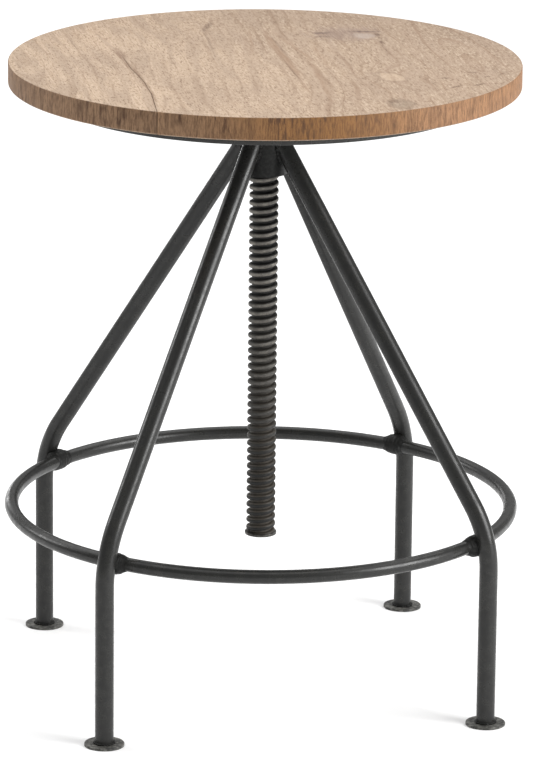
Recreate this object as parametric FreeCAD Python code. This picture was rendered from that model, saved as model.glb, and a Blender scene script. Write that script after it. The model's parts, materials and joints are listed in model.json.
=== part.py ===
import FreeCAD, Part
import math
import os

from FreeCAD import Vector

# Screw-height bar stool: a round wooden seat on a threaded steel spindle, carried by a welded
# frame of four bent tube legs, a hub with a fixed nut, and a foot ring.
# Millimetres and degrees. The origin is on the floor under the spindle, +Z is up, the front is -Y.
# The seat is shown screwed right down.

# Seat: boards glued edge to edge and cut round
seat_diameter = 380.0
seat_thickness = 17.0
seat_upper_bevel = 1.0
seat_lower_bevel = 1.6
board_width = 107.0

# Steel plate under the seat, with a flat bar rim welded to its edge
plate_diameter = 319.0
plate_thickness = 2.0
rim_height = 8.0
rim_thickness = 4.0
rim_weld_size = 2.5
rim_weld_arc = 9.0
rim_weld_count = 8

# Wood screws that hold the plate and the spindle's flange to the boards
screw_diameter = 4.5
screw_tip_cover = 4.0
screw_head_diameter = 9.0
screw_head_height = 2.8
screw_head_round = 1.6
screw_slot_length = 5.0
screw_slot_width = 1.1
screw_slot_depth = 1.4
screw_hole_clearance = 0.25
pilot_clearance = 0.05
plate_screw_inset = 19.5
plate_screw_count = 8
flange_screw_inset = 12.0
flange_screw_count = 4

# Spindle with its round-crested thread, its flange and the stop at its lower end
flange_diameter = 90.0
flange_thickness = 5.0
spindle_diameter = 22.0
spindle_weld_size = 3.5
neck_margin = 0.5
thread_length = 334.6
thread_pitch = 6.0
thread_depth = 2.6
thread_groove_width = 1.8
thread_fullness = 2.5
thread_clearance = 0.35
stop_washer_lap = 0.6
stop_washer_thickness = 2.0
stop_screw_diameter = 6.0
stop_screw_length = 18.0
stop_screw_head_diameter = 11.0
stop_screw_head_height = 1.6
running_clearance = 0.05
end_clearance = 0.15

# Hub: a collar with the threaded nut fixed in its lower end
hub_top_height = 452.0
hub_length = 60.5
hub_wall = 3.5
nut_wall = 2.15
nut_top_recess = 18.5
seat_rest_gap = 0.3
hub_weld_size = 2.5

# Legs and feet; the legs' centre lines reach the hub at the seat height above its lower end
leg_diameter = 13.7
leg_wall = 2.2
leg_circle = 405.0
leg_bend_height = 145.0
leg_bend_radius = 85.0
leg_seat_height = 22.5
foot_diameter = 29.5
foot_thickness = 1.8
foot_edge_round = 0.6
foot_weld_size = 2.5

# Foot ring, welded to the insides of the leg bends
ring_bar_diameter = 10.3
ring_height = 136.4
ring_weld_gap = 0.2
ring_weld_radius = 8.0
ring_weld_tip_radius = 4.0
ring_weld_flare = 6.75
ring_weld_setback = 1.7

# Heights, from the hub up and from the flange down
hub_bottom = hub_top_height - hub_length
flange_bottom = hub_top_height + seat_rest_gap
plate_bottom = flange_bottom + flange_thickness
board_bottom = plate_bottom + plate_thickness
spindle_bottom = flange_bottom - spindle_weld_size - neck_margin - thread_length
washer_top = spindle_bottom - end_clearance
washer_bottom = washer_top - stop_washer_thickness
stop_head_top = washer_bottom - end_clearance
screw_grip = seat_thickness - screw_tip_cover

# Whole turns of thread on the spindle and in the nut
spindle_turns = int(thread_length // thread_pitch)
nut_turns = int((hub_length - nut_top_recess) // thread_pitch)

# Radii and circles
screw_radius = screw_diameter / 2
plate_radius = plate_diameter / 2
rim_inner_radius = plate_radius - rim_thickness
spindle_radius = spindle_diameter / 2
spindle_root_radius = spindle_radius - thread_depth
nut_bore_radius = spindle_radius + thread_clearance
nut_radius = nut_bore_radius + nut_wall
hub_radius = nut_radius + hub_wall
stop_washer_radius = nut_bore_radius + stop_washer_lap
leg_radius = leg_diameter / 2
leg_circle_radius = leg_circle / 2
ring_bar_radius = ring_bar_diameter / 2
plate_screw_radius = plate_radius - plate_screw_inset
flange_screw_radius = flange_diameter / 2 - flange_screw_inset

# A leg's centre line: up from the foot, round the bend, then in to the hub and on to its axis
leg_lean = math.atan2(leg_circle_radius - hub_radius, hub_bottom + leg_seat_height - leg_bend_height)
leg_meeting_height = leg_bend_height + leg_circle_radius / math.tan(leg_lean)
bend_centre_radius = leg_circle_radius - leg_bend_radius
bend_centre_height = leg_bend_height - leg_bend_radius * math.tan(leg_lean / 2)

LEG_CORNERS = ("front_left", "front_right", "rear_right", "rear_left")
Z_AXIS = Vector(0, 0, 1)
ORIGIN = Vector(0, 0, 0)
RIDGE_POINTS = 12
SEW_TOLERANCE = 0.001


def spun(shape, azimuth):
    """A copy of the shape, turned about the stool's axis."""
    copy = shape.copy()
    copy.rotate(ORIGIN, Z_AXIS, azimuth)
    return copy


def raised(shape, height):
    """A copy of the shape, moved up."""
    return shape.translated(Vector(0, 0, height))


def disc(radius, bottom, thickness):
    """A round plate on the stool's axis."""
    return Part.makeCylinder(radius, thickness, Vector(0, 0, bottom))


def turned(profile, arc=360):
    """A solid turned about the stool's axis from its (radius, height) corners."""
    corners = [Vector(radius, 0, height) for radius, height in profile]
    face = Part.Face(Part.makePolygon(corners + corners[:1]))
    return face.revolve(ORIGIN, Z_AXIS, arc)


def evenly_round(shape, count, first_azimuth=0):
    """Copies of the shape, spread evenly round the stool's axis."""
    return [spun(shape, first_azimuth + 360 * place / count) for place in range(count)]


def half_step(count):
    """Half the angle between neighbours in a ring of that many pieces."""
    return 180 / count


def polar(radius, angle):
    """A point in the floor plane from its radius and its angle in radians."""
    return Vector(radius * math.cos(angle), radius * math.sin(angle), 0)


def rim_edges(shape, height):
    """The closed edges of a turned shape that lie at one height."""
    edges = [edge for edge in shape.Edges if edge.Closed]
    return [edge for edge in edges if abs(edge.CenterOfMass.z - height) < SEW_TOLERANCE]


# Seat boards


def screw_places():
    """Centres of all the wood screws, on the circles of the plate and of the flange."""
    places = []
    rings = ((plate_screw_radius, plate_screw_count), (flange_screw_radius, flange_screw_count))
    for radius, count in rings:
        for place in range(count):
            places.append(polar(radius, math.radians(half_step(count) + 360 * place / count)))
    return places


def screw_holes(radius, bottom, depth):
    """A hole tool at each wood screw."""
    return [raised(Part.makeCylinder(radius, depth, place), bottom) for place in screw_places()]


def make_boards():
    """The seat's four edge-glued boards, with their grain along Y."""
    seat_radius = seat_diameter / 2
    seat_top = board_bottom + seat_thickness
    seat = turned([
        (0, board_bottom),
        (seat_radius - seat_lower_bevel, board_bottom),
        (seat_radius, board_bottom + seat_lower_bevel),
        (seat_radius, seat_top - seat_upper_bevel),
        (seat_radius - seat_upper_bevel, seat_top),
        (0, seat_top),
    ])
    pilots = screw_holes(screw_radius + pilot_clearance, board_bottom, screw_grip + pilot_clearance)
    seat = seat.cut(pilots)
    sides = {
        "left_outer": (-seat_diameter, -board_width),
        "left_inner": (-board_width, 0),
        "right_inner": (0, board_width),
        "right_outer": (board_width, seat_diameter),
    }
    boards = {}
    for side, (low, high) in sides.items():
        corner = Vector(low, -seat_diameter, board_bottom)
        strip = Part.makeBox(high - low, 2 * seat_diameter, seat_thickness, corner)
        boards["seat_board_" + side] = seat.common(strip)
    return boards


# Plate, rim and screws under the seat


def make_plate():
    """Flat steel disc that the boards are screwed to."""
    plate = disc(plate_radius, plate_bottom, plate_thickness)
    return plate.cut(screw_holes(screw_radius + screw_hole_clearance, plate_bottom, plate_thickness))


def make_rim():
    """Flat bar hoop on edge under the plate."""
    rim_bottom = plate_bottom - rim_height
    return turned([
        (rim_inner_radius, rim_bottom),
        (plate_radius, rim_bottom),
        (plate_radius, plate_bottom),
        (rim_inner_radius, plate_bottom),
    ])


def make_rim_welds():
    """Short stitch welds in the corner between the plate and its rim."""
    stitch = turned([
        (rim_inner_radius, plate_bottom),
        (rim_inner_radius - rim_weld_size, plate_bottom),
        (rim_inner_radius, plate_bottom - rim_weld_size),
    ], rim_weld_arc)
    return evenly_round(stitch, rim_weld_count, -rim_weld_arc / 2)


def wood_screw(seat_height):
    """One cross-head wood screw on the axis, its head under the given height, its tip in the board."""
    head_bottom = seat_height - screw_head_height
    head = disc(screw_head_diameter / 2, head_bottom, screw_head_height)
    head = head.makeFillet(screw_head_round, rim_edges(head, head_bottom))
    slot_corner = Vector(-screw_slot_length / 2, -screw_slot_width / 2, head_bottom)
    slot = Part.makeBox(screw_slot_length, screw_slot_width, screw_slot_depth, slot_corner)
    head = head.cut([slot, spun(slot, 90)])
    shank = disc(screw_radius, seat_height, board_bottom + screw_grip - seat_height)
    return head.fuse(shank).removeSplitter()


def ring_of_screws(seat_height, radius, count):
    """A circle of wood screws whose heads bear on the face at the given height."""
    screw = wood_screw(seat_height).translated(Vector(radius, 0, 0))
    return evenly_round(screw, count, half_step(count))


# Spindle and what is on it


def thread_section(root_radius, groove_width):
    """Outline of a threaded rod cut square across: one rounded ridge and an arc at the root."""
    half_angle = math.pi * (1 - groove_width / thread_pitch)
    points = []
    for step in range(RIDGE_POINTS + 1):
        across = -math.cos(math.pi * step / RIDGE_POINTS)
        fullness = (1 - abs(across) ** thread_fullness) ** (1 / thread_fullness)
        points.append(polar(root_radius + thread_depth * fullness, across * half_angle))
    ridge = Part.BSplineCurve()
    ridge.interpolate(points)
    root = Part.Arc(points[-1], polar(root_radius, math.pi), points[0])
    return Part.Wire([ridge.toShape(), root.toShape()])


def screwed_up(shape, height):
    """A copy of the shape, screwed up the right-hand thread from the floor to a height."""
    return spun(raised(shape, height), 360 * height / thread_pitch)


def thread_walls(section, turns, bottom):
    """The wall of a right-hand thread, made of one turn repeated up the axis."""
    spine = Part.Wire([Part.makeLine(ORIGIN, Vector(0, 0, thread_pitch))])
    helix = Part.Wire([Part.makeHelix(thread_pitch, thread_pitch, spindle_radius)])
    turn = Part.BRepOffsetAPI.MakePipeShell(spine)
    turn.setAuxiliarySpine(helix, True, 0)
    turn.add(section)
    turn.build()
    walls = turn.shape().Faces
    heights = [bottom + thread_pitch * step for step in range(turns)]
    return [screwed_up(wall, height) for height in heights for wall in walls]


def sewn_solid(faces):
    """One closed solid from faces that meet along their edges."""
    shell = Part.Shell(faces)
    shell.sewShape(SEW_TOLERANCE)
    solid = Part.Solid(shell.Shells[0])
    if solid.Volume < 0:
        solid.reverse()
    return solid


def make_spindle():
    """Threaded rod with a plain neck that passes up through the flange."""
    section = thread_section(spindle_root_radius, thread_groove_width)
    thread_top = spindle_bottom + spindle_turns * thread_pitch
    caps = [Part.Face(screwed_up(section, height)) for height in (spindle_bottom, thread_top)]
    thread = sewn_solid(thread_walls(section, spindle_turns, spindle_bottom) + caps)
    neck = disc(spindle_root_radius, thread_top, plate_bottom - thread_top)
    tapped_hole = disc(stop_screw_diameter / 2, spindle_bottom, stop_screw_length)
    return thread.fuse(neck).cut(tapped_hole)


def make_flange():
    """Round plate welded to the spindle's top."""
    flange = disc(flange_diameter / 2, flange_bottom, flange_thickness)
    holes = screw_holes(screw_radius + screw_hole_clearance, flange_bottom, flange_thickness)
    return flange.cut(holes + [disc(spindle_root_radius, flange_bottom, flange_thickness)])


def make_spindle_weld():
    """Fillet weld round the spindle's neck, under the flange."""
    return turned([
        (spindle_root_radius, flange_bottom),
        (spindle_root_radius + spindle_weld_size, flange_bottom),
        (spindle_root_radius, flange_bottom - spindle_weld_size),
    ])


def make_stop_washer():
    """Loose washer that meets the nut when the seat is right up."""
    hole_radius = stop_screw_diameter / 2 + running_clearance
    washer = disc(stop_washer_radius, washer_bottom, stop_washer_thickness)
    return washer.cut(disc(hole_radius, washer_bottom, stop_washer_thickness))


def make_stop_screw():
    """Low-headed screw that keeps the washer on the spindle's end."""
    head_bottom = stop_head_top - stop_screw_head_height
    head = disc(stop_screw_head_diameter / 2, head_bottom, stop_screw_head_height)
    shank_length = spindle_bottom + stop_screw_length - stop_head_top
    return head.fuse(disc(stop_screw_diameter / 2, stop_head_top, shank_length))


# Hub


def make_collar():
    """Tube that the legs are welded to."""
    return turned([
        (nut_radius, hub_bottom),
        (hub_radius, hub_bottom),
        (hub_radius, hub_top_height),
        (nut_radius, hub_top_height),
    ])


def make_nut():
    """Threaded nut flush with the collar's lower end, with play all round the spindle's thread."""
    length = nut_turns * thread_pitch
    groove_width = thread_groove_width - 2 * thread_clearance
    section = thread_section(spindle_root_radius + thread_clearance, groove_width)
    faces = thread_walls(section, nut_turns, hub_bottom)
    for height in (hub_bottom, hub_bottom + length):
        outline = Part.Wire([Part.makeCircle(nut_radius, Vector(0, 0, height))])
        faces.append(Part.makeFace([outline, screwed_up(section, height)], "Part::FaceMakerCheese"))
    outside = disc(nut_radius, hub_bottom, length)
    faces.extend(face for face in outside.Faces if face.Surface.TypeId == "Part::GeomCylinder")
    return sewn_solid(faces)


# Legs, feet and foot ring


def leg_azimuths():
    """Each leg's corner with its turn about the stool's axis, the front between the first two."""
    count = len(LEG_CORNERS)
    return {corner: 360 * (place + 0.5) / count - 180 for place, corner in enumerate(LEG_CORNERS)}


def bend_point(angle, radius):
    """A point at an angle round a leg's bend and a distance from the bend's centre."""
    across = bend_centre_radius + radius * math.cos(angle)
    return Vector(across, 0, bend_centre_height + radius * math.sin(angle))


def leg_bar(radius):
    """A round bar along a leg's centre line in the plane of +X, from the foot to the stool's axis."""
    foot = Vector(leg_circle_radius, 0, foot_thickness)
    bend_start, bend_middle, bend_end = (
        bend_point(angle, leg_bend_radius) for angle in (0, leg_lean / 2, leg_lean)
    )
    path = Part.Wire([
        Part.makeLine(foot, bend_start),
        Part.Arc(bend_start, bend_middle, bend_end).toShape(),
        Part.makeLine(bend_end, Vector(0, 0, leg_meeting_height)),
    ])
    outline = Part.Wire([Part.makeCircle(radius, foot, Z_AXIS)])
    return path.makePipeShell([outline], True, True)


def make_leg():
    """Bent tube, its top shaped to the hub and its foot cut square."""
    tube = leg_bar(leg_radius).cut(leg_bar(leg_radius - leg_wall))
    return tube.cut(disc(hub_radius, 0, 2 * leg_meeting_height))


def make_foot():
    """Round steel disc under a leg, with a softened upper edge."""
    foot = disc(foot_diameter / 2, 0, foot_thickness)
    foot = foot.makeFillet(foot_edge_round, rim_edges(foot, foot_thickness))
    return foot.translated(Vector(leg_circle_radius, 0, 0))


def make_foot_weld():
    """Fillet weld round a leg's foot."""
    fillet = turned([
        (leg_radius, foot_thickness),
        (leg_radius + foot_weld_size, foot_thickness),
        (leg_radius, foot_thickness + foot_weld_size),
    ])
    return fillet.translated(Vector(leg_circle_radius, 0, 0))


def make_hub_weld():
    """Saddle weld round a leg's top, on the hub."""
    sleeve = leg_bar(leg_radius + hub_weld_size)
    skin = disc(hub_radius + hub_weld_size, hub_bottom, hub_length)
    return sleeve.common(skin).cut([disc(hub_radius, hub_bottom, hub_length), leg_bar(leg_radius)])


def ring_touch():
    """The foot ring's centre line beside the leg in the plane of +X, and the way out to the leg."""
    reach = leg_bend_radius - leg_radius - ring_weld_gap - ring_bar_radius
    rise = (ring_height - bend_centre_height) / reach
    angle = math.asin(min(max(rise, 0), math.sin(leg_lean)))
    beside_bend = bend_point(angle, reach)
    across = beside_bend.x - (ring_height - beside_bend.z) * math.tan(angle)
    return Vector(across, 0, ring_height), Vector(math.cos(angle), 0, math.sin(angle))


def make_ring():
    """Closed ring of round bar inside the legs."""
    centre, outwards = ring_touch()
    return Part.makeTorus(centre.x, ring_bar_radius, Vector(0, 0, ring_height), Z_AXIS)


def make_ring_weld():
    """Weld that flares along the ring on both sides of a leg."""
    centre, outwards = ring_touch()
    middle = centre + outwards * (ring_bar_radius - ring_weld_setback)
    reach = leg_radius + ring_weld_flare
    sides = []
    for along in (Vector(0, 1, 0), Vector(0, -1, 0)):
        sides.append(Part.makeCone(ring_weld_radius, ring_weld_tip_radius, reach, middle, along))
    return sides[0].fuse(sides[1]).cut([make_ring(), leg_bar(leg_radius)])


# All the pieces


def make_pieces():
    """Every node of the stool with its solids."""
    pieces = make_boards()
    pieces["seat_plate"] = make_plate()
    pieces["seat_plate_rim"] = make_rim()
    pieces["rim_welds"] = make_rim_welds()
    pieces["seat_plate_screws"] = ring_of_screws(plate_bottom, plate_screw_radius, plate_screw_count)
    pieces["flange_screws"] = ring_of_screws(flange_bottom, flange_screw_radius, flange_screw_count)
    pieces["spindle_flange"] = make_flange()
    pieces["spindle"] = make_spindle()
    pieces["spindle_weld"] = make_spindle_weld()
    pieces["stop_washer"] = make_stop_washer()
    pieces["stop_screw"] = make_stop_screw()
    pieces["hub_collar"] = make_collar()
    pieces["hub_nut"] = make_nut()
    leg = make_leg()
    foot = make_foot()
    for corner, azimuth in leg_azimuths().items():
        pieces["leg_" + corner] = spun(leg, azimuth)
        pieces["foot_disc_" + corner] = spun(foot, azimuth)
    pieces["foot_ring"] = make_ring()
    welds = {"hub_welds": make_hub_weld(), "ring_welds": make_ring_weld(), "foot_welds": make_foot_weld()}
    for name, weld in welds.items():
        pieces[name] = [spun(weld, azimuth) for azimuth in leg_azimuths().values()]
    return pieces


os.makedirs("parts", exist_ok=True)
for node, solids in make_pieces().items():
    shape = Part.makeCompound(solids) if isinstance(solids, list) else solids
    shape.exportStep("parts/" + node + ".step")
    state = "valid" if shape.isValid() else "NOT VALID"
    print(node, len(shape.Solids), "solid(s)", round(shape.Volume / 1000, 2), "cm3", state)
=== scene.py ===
"""Looks of a screw-height bar stool, dressed around its construction.

The wooden seat, the threaded spindle and the welded frame are modelled as a maker would cut,
turn, bend and weld them, and each piece rides on the body that carries it.
"""

import json
import logging
import math
import random
from collections.abc import Callable, Iterator, Sequence
from contextlib import contextmanager
from dataclasses import dataclass
from enum import Enum

import bmesh
import bpy
from mathutils import Matrix, Vector


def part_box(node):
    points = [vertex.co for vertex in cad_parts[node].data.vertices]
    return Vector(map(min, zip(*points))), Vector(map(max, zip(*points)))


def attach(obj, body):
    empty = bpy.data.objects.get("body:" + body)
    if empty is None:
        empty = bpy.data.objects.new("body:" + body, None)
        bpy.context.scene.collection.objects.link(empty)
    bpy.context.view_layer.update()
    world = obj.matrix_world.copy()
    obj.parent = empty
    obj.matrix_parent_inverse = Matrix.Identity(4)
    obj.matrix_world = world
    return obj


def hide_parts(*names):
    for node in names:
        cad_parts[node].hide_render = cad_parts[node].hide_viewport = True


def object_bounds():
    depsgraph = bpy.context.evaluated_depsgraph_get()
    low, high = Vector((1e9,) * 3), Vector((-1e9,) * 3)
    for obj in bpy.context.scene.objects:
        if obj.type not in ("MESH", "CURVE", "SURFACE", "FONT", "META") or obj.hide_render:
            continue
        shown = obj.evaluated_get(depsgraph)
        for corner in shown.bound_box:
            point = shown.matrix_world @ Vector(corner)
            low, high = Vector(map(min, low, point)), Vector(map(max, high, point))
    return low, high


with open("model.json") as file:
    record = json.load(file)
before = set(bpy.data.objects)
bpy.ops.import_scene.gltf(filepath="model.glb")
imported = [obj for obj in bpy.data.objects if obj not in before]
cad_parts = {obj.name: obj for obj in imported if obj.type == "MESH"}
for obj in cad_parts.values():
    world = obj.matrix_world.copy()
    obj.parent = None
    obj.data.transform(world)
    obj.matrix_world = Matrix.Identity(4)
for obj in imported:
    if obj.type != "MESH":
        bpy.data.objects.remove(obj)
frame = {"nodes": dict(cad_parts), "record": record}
CAD_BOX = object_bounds()
MM = 0.001
log = logging.getLogger("bar_stool")

Piece = bpy.types.Object
Material = bpy.types.Material
Node = bpy.types.Node
Socket = bpy.types.NodeSocket
Tree = bpy.types.NodeTree
Span = tuple[float, float]
Triple = tuple[float, float, float]
Colour = tuple[float, float, float]
Feed = Socket | float | Sequence[float]
Feeds = dict[int | str, Feed]

# Which points merge, which edges are corners, and which faces end a round bar
MERGE_DISTANCE = 0.002 * MM
SHARP_ANGLE = math.radians(30)
CAP_NORMAL = 0.99
CAP_CORNERS = 8

# How finely a drop of weld metal is made, and how drops melt together
DROP_FINENESS = 3
BEAD_VOXEL = 0.42 * MM
BEAD_FLOW = 0.5
BEAD_SOFTENING = 3

# Socket types of the shared effects, and the coated steel's shine
VECTOR = "NodeSocketVector"
NUMBER = "NodeSocketFloat"
COAT_SHINE = 0.38


class Body(Enum):
    """The groups of pieces that move as one."""

    FRAME = "frame"
    STOP = "stop"
    SEAT = "seat"


class Slot(Enum):
    """The finishes that the record names."""

    SEAT_WOOD = "seat_wood"
    BLACK_STEEL = "black_steel"
    FOOT_STEEL = "foot_steel"
    WELD_STEEL = "weld_steel"
    SPINDLE_STEEL = "spindle_steel"
    SCREW_STEEL = "screw_steel"


class Corner(Enum):
    """Where a leg stands, with its turn about the spindle in degrees."""

    FRONT_LEFT = -135
    FRONT_RIGHT = -45
    REAR_RIGHT = 45
    REAR_LEFT = 135

    @property
    def word(self) -> str:
        """The corner's name as pieces carry it."""
        return self.name.lower()


class Smoothing(Enum):
    """The sharpest edge that still shades smooth, in degrees."""

    TURNED = 35
    TAPPED = 40
    BENT = 50
    ROUND = 60


# Modelling by hand


def make_active(piece: Piece) -> None:
    """Leaves only one piece selected and active.

    Args:
        piece: The piece to work on.
    """
    bpy.ops.object.select_all(action="DESELECT")
    piece.select_set(True)
    bpy.context.view_layer.objects.active = piece


def adopt(name: str) -> Piece:
    """Names the object that an operator has just added.

    Args:
        name: The piece's name.

    Returns:
        The active object under its new name.
    """
    piece = bpy.context.active_object
    piece.name = name
    piece.data.name = name
    return piece


def start_piece(add: Callable[..., object], name: str, **settings: object) -> Piece:
    """Adds the primitive that a piece starts from.

    Args:
        add: The operator that adds it.
        name: The piece's name.
        **settings: The operator's own values.

    Returns:
        The new piece.
    """
    bpy.ops.object.select_all(action="DESELECT")
    add(**settings)
    return adopt(name)


def settle(piece: Piece) -> None:
    """Moves a piece's place and turn into its mesh."""
    make_active(piece)
    bpy.ops.object.transform_apply(location=True, rotation=True, scale=True)


def turned_copy(piece: Piece, name: str, degrees: float) -> Piece:
    """Copies a piece round the spindle's axis.

    Args:
        piece: The piece to copy.
        name: The copy's name.
        degrees: The copy's turn about the axis.

    Returns:
        The copy, with its own mesh.
    """
    make_active(piece)
    bpy.ops.object.duplicate()
    copy = adopt(name)
    copy.rotation_euler = (0, 0, math.radians(degrees))
    settle(copy)
    return copy


def joined(pieces: Sequence[Piece], name: str) -> Piece:
    """Joins pieces into the first of them.

    Args:
        pieces: What to join.
        name: The joined piece's name.

    Returns:
        The joined piece.
    """
    make_active(pieces[0])
    for piece in pieces:
        piece.select_set(True)
    bpy.ops.object.join()
    return adopt(name)


def discard(piece: Piece) -> None:
    """Removes a pattern piece that was only there to be copied or cut with."""
    bpy.data.objects.remove(piece)


def apply_modifier(piece: Piece, kind: str, **settings: object) -> None:
    """Adds a modifier to a piece and applies it.

    Args:
        piece: The piece to change.
        kind: The modifier's type.
        **settings: The modifier's own values.
    """
    modifier = piece.modifiers.new(kind.title(), kind)
    for key, value in settings.items():
        setattr(modifier, key, value)
    make_active(piece)
    bpy.ops.object.modifier_apply(modifier=modifier.name)


def cut_away(piece: Piece, tool: Piece) -> None:
    """Cuts a tool's shape out of a piece and puts the tool away."""
    apply_modifier(piece, "BOOLEAN", operation="DIFFERENCE", object=tool, solver="EXACT")
    discard(tool)


def smooth(piece: Piece, limit: Smoothing = Smoothing.TURNED) -> None:
    """Shades a piece smooth, but for edges sharper than a limit."""
    make_active(piece)
    bpy.ops.object.shade_smooth_by_angle(angle=math.radians(limit.value))


@contextmanager
def editing(piece: Piece) -> Iterator[None]:
    """Opens a piece in edit mode and leaves it with its doubles merged and its faces outwards.

    Args:
        piece: The piece to edit.

    Yields:
        Nothing; the piece is open until the block ends.
    """
    make_active(piece)
    bpy.ops.object.mode_set(mode="EDIT")
    bpy.ops.mesh.select_mode(type="VERT")
    bpy.ops.mesh.select_all(action="SELECT")
    yield
    bpy.ops.mesh.select_all(action="SELECT")
    bpy.ops.mesh.remove_doubles(threshold=MERGE_DISTANCE)
    bpy.ops.mesh.normals_make_consistent(inside=False)
    bpy.ops.object.mode_set(mode="OBJECT")


def pick(piece: Piece, kind: str, wanted: Callable[[object], bool]) -> None:
    """Selects parts of the open mesh by their place or shape.

    Args:
        piece: The piece in edit mode.
        kind: VERT, EDGE or FACE.
        wanted: Says which of them to select.
    """
    bpy.ops.mesh.select_mode(type=kind)
    bpy.ops.mesh.select_all(action="DESELECT")
    mesh = bmesh.from_edit_mesh(piece.data)
    parts = {"VERT": mesh.verts, "EDGE": mesh.edges, "FACE": mesh.faces}[kind]
    for part in parts:
        part.select_set(bool(wanted(part)))
    mesh.select_flush_mode()
    bmesh.update_edit_mesh(piece.data)


def pull(offset: Sequence[float]) -> None:
    """Extrudes the selection by an offset."""
    bpy.ops.mesh.extrude_region_move(TRANSFORM_OT_translate={"value": tuple(offset)})


def saw_between(axis: Vector, low: float, high: float) -> None:
    """Saws the open mesh off outside two planes, and closes the cuts.

    Args:
        axis: The way that both planes face.
        low: The first plane's place along the axis.
        high: The second plane's place along it.
    """
    for place, keeps_higher in ((low, True), (high, False)):
        bpy.ops.mesh.select_all(action="SELECT")
        bpy.ops.mesh.bisect(
            plane_co=axis * place, plane_no=axis, use_fill=True,
            clear_inner=keeps_higher, clear_outer=not keeps_higher,
        )


def is_sharp(edge: bmesh.types.BMEdge) -> bool:
    """Whether two faces meet at a clear corner along an edge."""
    return len(edge.link_faces) == 2 and edge.calc_face_angle() > SHARP_ANGLE


def is_cap(face: bmesh.types.BMFace) -> bool:
    """Whether a face lies flat and has many corners, as the end of a round bar does."""
    return abs(face.normal.z) > CAP_NORMAL and len(face.verts) > CAP_CORNERS


def ease_edges(
    piece: Piece, width: float, steps: int = 2, above: float = -math.inf, below: float = math.inf
) -> None:
    """Bevels the sharp edges of a piece in edit mode, all of them or those between two heights."""
    pick(piece, "EDGE", lambda edge: is_sharp(edge) and above < edge.verts[0].co.z < below)
    bpy.ops.mesh.bevel(offset=width, segments=steps, affect="EDGES")


def bore_out(piece: Piece, wall: float) -> None:
    """Opens a hole through a round bar in edit mode.

    Args:
        piece: The bar.
        wall: The thickness that is left round the hole.
    """
    pick(piece, "FACE", is_cap)
    bpy.ops.mesh.inset(thickness=wall, use_individual=True)
    bpy.ops.mesh.bridge_edge_loops()


def round_bar(name: str, radius: float, bottom: float, top: float, sides: int) -> Piece:
    """A disc or bar on the spindle's axis.

    Args:
        name: The piece's name.
        radius: Its radius.
        bottom: Its lower face's height.
        top: Its upper face's height.
        sides: How many sides it has.

    Returns:
        The settled piece.
    """
    piece = start_piece(
        bpy.ops.mesh.primitive_cylinder_add, name,
        vertices=sides, radius=radius, depth=top - bottom, location=(0, 0, (bottom + top) / 2),
    )
    settle(piece)
    return piece


def on_circle(radius: float, angle: float, height: float) -> Vector:
    """A place on a circle about the spindle's axis."""
    return Vector((radius * math.cos(angle), radius * math.sin(angle), height))


@dataclass(frozen=True)
class Lump:
    """One drop of weld metal."""

    place: Vector
    radius: float
    flatness: float = 1.0


def varied(chance: random.Random, least: float, spread: float) -> float:
    """A size that differs a little from drop to drop."""
    return least + spread * chance.random()


def weld_bead(name: str, lumps: Sequence[Lump]) -> Piece:
    """Melts drops of weld metal into one uneven bead.

    Args:
        name: The bead's name.
        lumps: Its drops in order.

    Returns:
        The bead, with its place in its mesh.
    """
    drops = [
        start_piece(
            bpy.ops.mesh.primitive_ico_sphere_add, name, subdivisions=DROP_FINENESS,
            radius=lump.radius, location=lump.place, scale=(1, lump.flatness, 1),
        )
        for lump in lumps
    ]
    bead = joined(drops, name)
    settle(bead)
    apply_modifier(bead, "REMESH", mode="VOXEL", voxel_size=BEAD_VOXEL)
    apply_modifier(bead, "SMOOTH", factor=BEAD_FLOW, iterations=BEAD_SOFTENING)
    smooth(bead, Smoothing.ROUND)
    return bead


# Shader nodes


def opaque(colour: Feed) -> Feed:
    """Gives a plain colour its alpha, and lets a socket through.

    Args:
        colour: The colour or the socket.

    Returns:
        What a colour socket takes.
    """
    if isinstance(colour, Socket):
        return colour
    return (*colour, 1.0)


def shade(red: int, green: int, blue: int) -> Colour:
    """A colour seen on screen, from 0 to 255, as the light that makes it."""
    parts = [part / 255 for part in (red, green, blue)]
    return tuple(part / 12.92 if part <= 0.04045 else ((part + 0.055) / 1.055) ** 2.4 for part in parts)


@dataclass(frozen=True)
class Pattern:
    """A soft random pattern: how fast it changes across, along and through, how fine and how rough it is."""

    change: Triple
    detail: float
    rough: float = 0.5


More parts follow.
